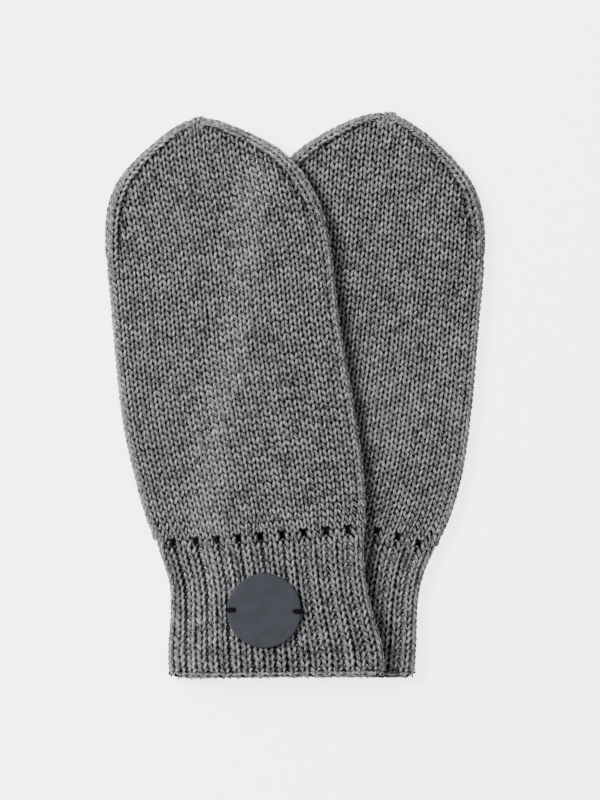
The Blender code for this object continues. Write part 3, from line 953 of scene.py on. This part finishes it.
def build_wall(mitten):
    heights, rings, inner = wall_rings(mitten)
    count = 4 * RIBS
    tips = [[np.mean(rings[-1], axis=0)], [np.mean(inner[-1], axis=0)]]
    points = np.concatenate(rings + inner + tips)
    within = len(rings) * count
    hole_row = int(np.searchsorted(heights, EYELET - EYELET_HALF_HIGH - 1e-6))
    between, inside, rim = range(3)
    faces, slots = [], []

    def face(slot, *corners):
        faces.append(corners)
        slots.append(slot)

    for first, rows in ((0, len(rings)), (within, len(inner))):
        for r in range(rows - 1):
            low, high = first + r * count, first + (r + 1) * count
            for i in range(count):
                j = (i + 1) % count
                if r == hole_row and i % 4 == 0:
                    continue
                if first:
                    face(rim if r < 2 else inside, high + i, high + j, low + j, low + i)
                else:
                    face(rim if r < 1 else between, low + i, low + j, high + j, high + i)
    low, high = hole_row * count, (hole_row + 1) * count
    for i in range(count):
        j = (i + 1) % count
        face(rim, within + i, within + j, j, i)
        if i % 4 == 0:
            corners = [low + i, low + j, high + j, high + i]
            for a, b in zip(corners, corners[1:] + corners[:1]):
                face(between, a, b, within + b, within + a)
    last, last_within = (len(rings) - 1) * count, within + (len(inner) - 1) * count
    for i in range(count):
        j = (i + 1) % count
        face(between, last + i, last + j, len(points) - 2)
        face(inside, last_within + j, last_within + i, len(points) - 1)
    materials = [
        # near-black painted shade between the yarns and in the eyelets
        shared("wool_painted_shade", painted_shade_between),
        # purled wool darkened by painted shade, inside the mitten and on the mouth's rim
        shared("wool_inside", inside_knit, 0.04),
        shared("wool_rim", inside_knit, 0.3),
    ]
    obj = skin(f"{mitten.name}_wall", points, faces, materials, slots)
    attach(obj, "root")
    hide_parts(f"{mitten.name}_hand", f"{mitten.name}_cuff")
    return obj


# Height of the left cuff's crests at points of the plan
def left_cuff_top(plan):
    heights = np.arange(4.0, 36.0, 0.25)
    section = Section(LEFT, heights)
    off = plan[:, None, :] - section.middle[None]
    ups = np.stack([-section.across[:, 1], section.across[:, 0]], axis=-1)
    nearest = np.abs((off * ups[None]).sum(axis=2)).argmin(axis=1)
    x = (off[np.arange(len(plan)), nearest] * section.across[nearest]).sum(axis=1)
    return LEFT.point(heights[nearest], x)[:, 2]


def turned_skin(name, rings, material, start, end):
    """A closed skin over rings of points between two end points."""
    count = len(rings[0])
    points = np.concatenate(rings + [[start], [end]])
    last = (len(rings) - 1) * count
    faces = []
    for low in range(0, last, count):
        for i in range(count):
            j = (i + 1) % count
            faces.append((low + i, low + j, low + count + j, low + count + i))
    faces += [((i + 1) % count, i, len(points) - 2) for i in range(count)]
    faces += [(last + i, last + (i + 1) % count, len(points) - 1) for i in range(count)]
    return skin(name, points, faces, [material])


def build_label():
    """A leather disc with a rounded rim, lying on the ribs."""
    profile = [
        (2.0, 0.0), (6.0, 0.0), (9.0, 0.0), (9.7, 0.04), (9.93, 0.2), (10.0, 0.45), (10.0, 0.8),
        (9.94, 1.02), (9.78, 1.15), (9.5, 1.2), (8.6, 1.21), (6.5, 1.2), (4.0, 1.2), (2.0, 1.2),
    ]
    sides = 96
    turn = 2 * np.pi * np.arange(sides) / sides
    rings = []
    for radius, up in profile:
        plan = np.column_stack([LABEL_X + radius * np.cos(turn), LABEL_Y + radius * np.sin(turn)])
        z = left_cuff_top(plan) + GAP + up
        rings.append(np.column_stack([plan - CENTRE[:2], z]))
    middle = np.array([[LABEL_X, LABEL_Y]])
    low = np.array([LABEL_X - CENTRE[0], LABEL_Y - CENTRE[1], left_cuff_top(middle)[0] + GAP])
    grained = shared("leather_slate_grain", leather)
    obj = turned_skin("label_leather", rings, grained, low, low + np.array([0, 0, LABEL_THICK]))
    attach(obj, "root")
    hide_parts("label")
    return obj


def build_label_stitch(side, name):
    """A double thread from a hole in the label over its rim into the knitting."""
    rim = LABEL_X + side * LABEL_RADIUS
    top = float(left_cuff_top(np.array([[rim, LABEL_Y]]))[0])
    high = top + GAP + LABEL_THICK
    path = np.array(
        [
            (rim + side * 0.16, top - 0.2),
            (rim + side * 0.18, top + 0.55),
            (rim + side * 0.12, high + 0.02),
            (rim - side * 0.20, high + 0.34),
            (rim - side * 0.8, high + 0.42),
            (rim - side * 1.4, high + 0.40),
            (rim - side * 1.75, high + 0.26),
            (rim - side * 1.88, high - 0.05),
        ]
    )
    fine = np.linspace(0, len(path) - 1, 40)
    x, z = (np.interp(fine, np.arange(len(path)), part) for part in path.T)
    kernel = np.array([0.25, 0.5, 0.25])
    for _ in range(6):
        x[1:-1] = np.convolve(x, kernel, "valid")
        z[1:-1] = np.convolve(z, kernel, "valid")
    aside = THREAD_ASIDE[side]
    centre = np.column_stack([x - CENTRE[0], np.full(len(x), LABEL_Y + aside - CENTRE[1]), z])
    slim = 0.62 + 0.38 * ease(np.arange(len(x)) / 16.0)
    ahead = np.gradient(centre, axis=0)
    ahead /= np.linalg.norm(ahead, axis=1)[:, None]
    flat = np.array([0.0, 1.0, 0.0])
    rise = np.cross(ahead, flat)
    sides = 36
    turn = 2 * np.pi * np.arange(sides) / sides
    rings = []
    for k in range(len(centre)):
        twisted = turn + THREAD_TURN * k
        radius = THREAD_RADIUS * slim[k] * (1 + 0.13 * np.abs(np.cos(THREAD_STRANDS * twisted / 2)))
        wide = np.outer(radius * np.cos(turn) * THREAD_FLAT, flat)
        rings.append(centre[k] + wide + np.outer(radius * np.sin(turn), rise[k]))
    waxed = shared("thread_black_waxed", thread)
    obj = turned_skin(name, rings, waxed, centre[0], centre[-1])
    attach(obj, "root")
    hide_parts(name.replace("thread", "stitch"))
    return obj


# Materials
def shared(name, paint, *given):
    """A material by its name, painted when it is first asked for."""
    return bpy.data.materials.get(name) or paint(name, *given)


def new_material(name):
    material = bpy.data.materials.new(name)
    material.use_nodes = True
    tree = material.node_tree
    place = (node(tree, "ShaderNodeTexCoord"), "Object")
    return material, tree, tree.nodes["Principled BSDF"], place


def noise(tree, scale, detail, rough, label, source):
    made = node(tree, "ShaderNodeTexNoise", label)
    put(made, {"Scale": scale, "Detail": detail, "Roughness": rough})
    link(tree, source, made, "Vector")
    return made


def ramp(tree, source, stops):
    made = node(tree, "ShaderNodeValToRGB")
    elements = made.color_ramp.elements
    while len(elements) < len(stops):
        elements.new(0.5)
    for element, (position, colour) in zip(elements, stops):
        element.position = position
        element.color = (*colour, 1.0)
    link(tree, source, made, "Fac")
    return made, "Color"


def speckled(tree, shader, source, *stops):
    """Colours a shader by a noise."""
    link(tree, ramp(tree, (source, "Fac"), stops), shader, "Base Color")


def bumped(tree, shader, height, distance, strength=1.0):
    bump = node(tree, "ShaderNodeBump")
    put(bump, {"Strength": strength, "Distance": distance})
    link(tree, height, bump, "Height")
    link(tree, bump, shader, "Normal")


def wool(name):
    """Melange yarn: light and dark fibres, twisted plies and a matt, slightly hairy surface, with painted
    shade where the yarn lies deep in its loop or its stitch sinks below the others.
    """
    chosen = settings()
    material, tree, shader, place = new_material(name)

    def read(attribute, label):
        return node(tree, "ShaderNodeAttribute", label, attribute_name=attribute)

    tint = (read("tint", "Stitch tint"), "Fac")
    parts = node(tree, "ShaderNodeSeparateXYZ")
    link(tree, (read("yarn", "Yarn coordinates"), "Vector"), parts, 0)
    angle = maths(tree, "ARCTAN2", (parts, 1), (parts, 0), "Angle round the yarn")
    wind = maths(tree, "MULTIPLY", (parts, 2), 3400.0, "Twist")
    ply = maths(tree, "SINE", maths(tree, "ADD", maths(tree, "MULTIPLY", angle, 3.0), wind))
    strand = maths(tree, "MULTIPLY_ADD", ply, 0.5, "Plies", 0.5)
    drawn = [maths(tree, "MULTIPLY", (parts, i), size) for i, size in enumerate((0.0005, 0.0005, 0.4))]
    fine = noise(tree, 3000.0, 2.0, 0.65, "Fibres", joined(tree, drawn, "Along the yarn"))
    fine.noise_dimensions = "4D"
    link(tree, maths(tree, "MULTIPLY", tint, 60.0), fine, "W")
    speck = noise(tree, 1500.0, 3.0, 0.7, "Melange", place)
    patch = noise(tree, 150.0, 2.0, 0.5, "Patches", place)
    mixed = maths(tree, "MULTIPLY", (speck, "Fac"), 0.26)
    # The plies' streaks darken the colour a little as painted shade in the grooves between plies; fibres,
    # patches and stitch tints are the melange's own tones.
    for part, share in (((fine, "Fac"), 0.50), ((patch, "Fac"), 0.03), (strand, 0.07), (tint, 0.05)):
        mixed = maths(tree, "ADD", mixed, maths(tree, "MULTIPLY", part, share))
    light, dark = tuple(chosen.light_wool), tuple(chosen.dark_wool)
    middle = tuple(0.50 * a + 0.50 * b for a, b in zip(light, dark))
    colour = ramp(tree, mixed, [(0.31, dark), (0.43, middle), (0.56, light)])
    # Painted shade: the colour is darkened where the yarn lies deep in its loop, on the backs of purled
    # loops and on stitches that sink below the others; painted light takes some of it off along the edges,
    # the hem, the rim and the tip.
    lift, side = read("lift", "Lift"), read("side", "Knitted or purled")
    outward = maths(tree, "MULTIPLY", (lift, "Fac"), (side, "Fac"))
    outward = maths(tree, "SUBTRACT", outward, (read("painted_shade", "Painted shade"), "Fac"))
    depth = node(tree, "ShaderNodeMapRange", "Painted shade in the depth", interpolation_type="SMOOTHSTEP")
    put(depth, {"From Min": -0.08, "From Max": 1.02, "To Min": 0.03, "To Max": 1.0})
    link(tree, outward, depth, "Value")
    shaded = node(tree, "ShaderNodeMix", "Painted shade on deep yarn", data_type="RGBA", blend_type="MULTIPLY")
    put(shaded, {"Factor": 1.0})
    link(tree, colour, shaded, 6)
    link(tree, (depth, "Result"), shaded, 7)
    contrast = node(tree, "ShaderNodeGamma", "Contrast")
    put(contrast, {"Gamma": 1.7})
    link(tree, (shaded, 2), contrast, "Color")
    link(tree, contrast, shader, "Base Color")
    put(shader, {"Roughness": 0.85, "Specular IOR Level": 0.05})
    put(shader, {"Sheen Weight": 0.02, "Sheen Roughness": 0.6})
    height = maths(tree, "ADD", maths(tree, "MULTIPLY", strand, 0.35), (fine, "Fac"))
    bumped(tree, shader, height, 0.00016, 0.8)
    return material


def painted_shade_between(name):
    """The knitting's depth seen between the yarns, coloured near black as painted shade there and in the
    eyelets.
    """
    material, tree, shader, place = new_material(name)
    speck = noise(tree, 900.0, 3.0, 0.6, "Melange", place)
    speckled(tree, shader, speck, (0.3, (0.0008, 0.0008, 0.0008)), (0.7, (0.0035, 0.0035, 0.0037)))
    put(shader, {"Roughness": 0.95, "Specular IOR Level": 0.1})
    return material


def inside_knit(name, share):
    """The purled inside of the hand's space or the mouth. Its light fibres are painted at that share of
    the wool's, as painted shade inside the mitten and on the mouth's rim.
    """
    chosen = settings()
    material, tree, shader, place = new_material(name)
    speck = noise(tree, 900.0, 3.0, 0.6, "Melange", place)
    deep = tuple(share * part for part in chosen.light_wool)
    speckled(tree, shader, speck, (0.35, tuple(chosen.dark_wool)), (0.65, deep))
    put(shader, {"Roughness": 0.95})
    rows = node(tree, "ShaderNodeTexWave", "Purl rows", bands_direction="Y")
    put(rows, {"Scale": 90.0, "Distortion": 2.0})
    link(tree, place, rows, "Vector")
    bumped(tree, shader, (rows, "Fac"), 0.0006)
    return material


def leather(name):
    """Slate leather with a fine grain."""
    material, tree, shader, place = new_material(name)
    cloud = noise(tree, 260.0, 4.0, 0.55, "Clouding", place)
    base = np.array(settings().leather)
    speckled(tree, shader, cloud, (0.30, tuple(base * 0.88)), (0.70, tuple(base * 1.12)))
    put(shader, {"Roughness": 0.7, "Specular IOR Level": 0.08})
    grain = node(tree, "ShaderNodeTexVoronoi", "Grain")
    put(grain, {"Scale": 2600.0})
    link(tree, place, grain, "Vector")
    pores = noise(tree, 3500.0, 2.0, 0.5, "Pores", place)
    height = maths(tree, "ADD", (grain, "Distance"), maths(tree, "MULTIPLY", (pores, "Fac"), 0.5))
    bumped(tree, shader, height, 0.00008, 0.35)
    return material


def thread(name):
    """Black waxed thread."""
    material, tree, shader, place = new_material(name)
    speck = noise(tree, 3000.0, 2.0, 0.6, "Fibres", place)
    base = np.array(settings().thread)
    speckled(tree, shader, speck, (0.3, tuple(base * 0.6)), (0.7, tuple(base * 2.2)))
    put(shader, {"Roughness": 0.8, "Specular IOR Level": 0.1})
    bumped(tree, shader, (speck, "Fac"), 0.00006, 0.5)
    return material


def pale_floor(name):
    """Pale paper that glows, so that it stays almost white."""
    material, tree, shader, place = new_material(name)
    soft = noise(tree, 40.0, 2.0, 0.4, "Paper", place)
    base = np.array(settings().floor)
    speckled(tree, shader, soft, (0.3, tuple(base * 0.995)), (0.7, tuple(base)))
    put(shader, {"Roughness": 0.9, "Specular IOR Level": 0.1})
    put(shader, {"Emission Color": (*settings().floor, 1.0), "Emission Strength": FLOOR_GLOW})
    return material


# Floor, lights and camera
def build_stage():
    material = shared("floor_pale", pale_floor)
    mesh = bpy.data.meshes.new("floor")
    plan = np.array([(-1, -1), (1, -1), (1, 1), (-1, 1)]) * FLOOR_REACH
    corners = [(x, y, FLOOR_LOW) for x, y in plan.tolist()]
    mesh.from_pydata(corners, [], [(0, 1, 2, 3)])
    mesh.materials.append(material)
    floor = new_object("floor", mesh)

    world = bpy.data.worlds.new("studio")
    world.use_nodes = True
    put(world.node_tree.nodes["Background"], {"Color": (1.0, 1.0, 1.0, 1.0), "Strength": WORLD_LIGHT})
    bpy.context.scene.world = world
    for name, place, size, power in LIGHTS:
        lamp = bpy.data.lights.new(name, "AREA")
        lamp.shape = "DISK"
        lamp.size = size
        lamp.energy = power
        obj = new_object(name, lamp)
        obj.location = place
        obj.rotation_mode = "QUATERNION"
        obj.rotation_quaternion = obj.location.normalized().to_track_quat("Z", "Y")

    camera = bpy.data.cameras.new("camera")
    camera.lens = LENS
    camera.sensor_width = SENSOR
    camera.clip_start, camera.clip_end = 0.05, 10.0
    seen = new_object("camera", camera)
    x, y, z = VIEW_MIDDLE
    seen.location = (x, y, z + VIEW_TALL / SENSOR * LENS)
    bpy.context.scene.camera = seen


def declare_cloth(mitten):
    """Works out the knitting's length all round the tube at heights from hem to tip, which nothing uses.
    """
    heights = np.arange(0.25, mitten.tip, 0.5)
    round_it = 2 * Section(mitten, heights).whole


class MITTENS_OT_walls(bpy.types.Operator):
    """Builds the two knitted walls"""

    bl_idname = "mittens.walls"
    bl_label = "Walls"

    def execute(self, context):
        for mitten in (LEFT, RIGHT):
            build_wall(mitten)
        return {"FINISHED"}


class MITTENS_OT_stitches(bpy.types.Operator):
    """Knits both mittens stitch by stitch"""

    bl_idname = "mittens.stitches"
    bl_label = "Stitches"

    def execute(self, context):
        for mitten in (LEFT, RIGHT):
            pieces = knit_mitten(mitten)
            if not all(len(piece.data.polygons) for piece in pieces):
                raise RuntimeError("a piece of knitting came out empty")
            declare_cloth(mitten)
        return {"FINISHED"}


class MITTENS_OT_label(bpy.types.Operator):
    """Builds the leather label"""

    bl_idname = "mittens.label"
    bl_label = "Label"

    def execute(self, context):
        build_label()
        return {"FINISHED"}


class MITTENS_OT_label_stitches(bpy.types.Operator):
    """Builds the two threads that hold the label"""

    bl_idname = "mittens.label_stitches"
    bl_label = "Label stitches"

    def execute(self, context):
        build_label_stitch(-1, "label_thread_left")
        build_label_stitch(1, "label_thread_right")
        return {"FINISHED"}


class MITTENS_OT_stage(bpy.types.Operator):
    """Lays the floor and sets the lights and the camera"""

    bl_idname = "mittens.stage"
    bl_label = "Stage"

    def execute(self, context):
        build_stage()
        return {"FINISHED"}


class MITTENS_PT_panel(bpy.types.Panel):
    """Lists the steps that make the mittens"""

    bl_idname = "MITTENS_PT_panel"
    bl_label = "Knitted mittens"
    bl_space_type = "VIEW_3D"
    bl_region_type = "UI"
    bl_category = "Mittens"

    def draw(self, context):
        chosen = context.scene.mittens
        for name in MittenSettings.__annotations__:
            self.layout.prop(chosen, name)
        for step in STEPS:
            self.layout.operator(step.bl_idname)


STEPS = (
    MITTENS_OT_walls,
    MITTENS_OT_stitches,
    MITTENS_OT_label,
    MITTENS_OT_label_stitches,
    MITTENS_OT_stage,
)
CLASSES = (MittenSettings, *STEPS, MITTENS_PT_panel)


def register():
    for made in CLASSES:
        bpy.utils.register_class(made)
    bpy.types.Scene.mittens = bpy.props.PointerProperty(type=MittenSettings)


def unregister():
    del bpy.types.Scene.mittens
    for made in reversed(CLASSES):
        bpy.utils.unregister_class(made)


def main():
    register()
    bpy.ops.mittens.walls()
    bpy.ops.mittens.stitches()
    bpy.ops.mittens.label()
    bpy.ops.mittens.label_stitches()
    bpy.ops.mittens.stage()


if __name__ == "__main__":
    main()
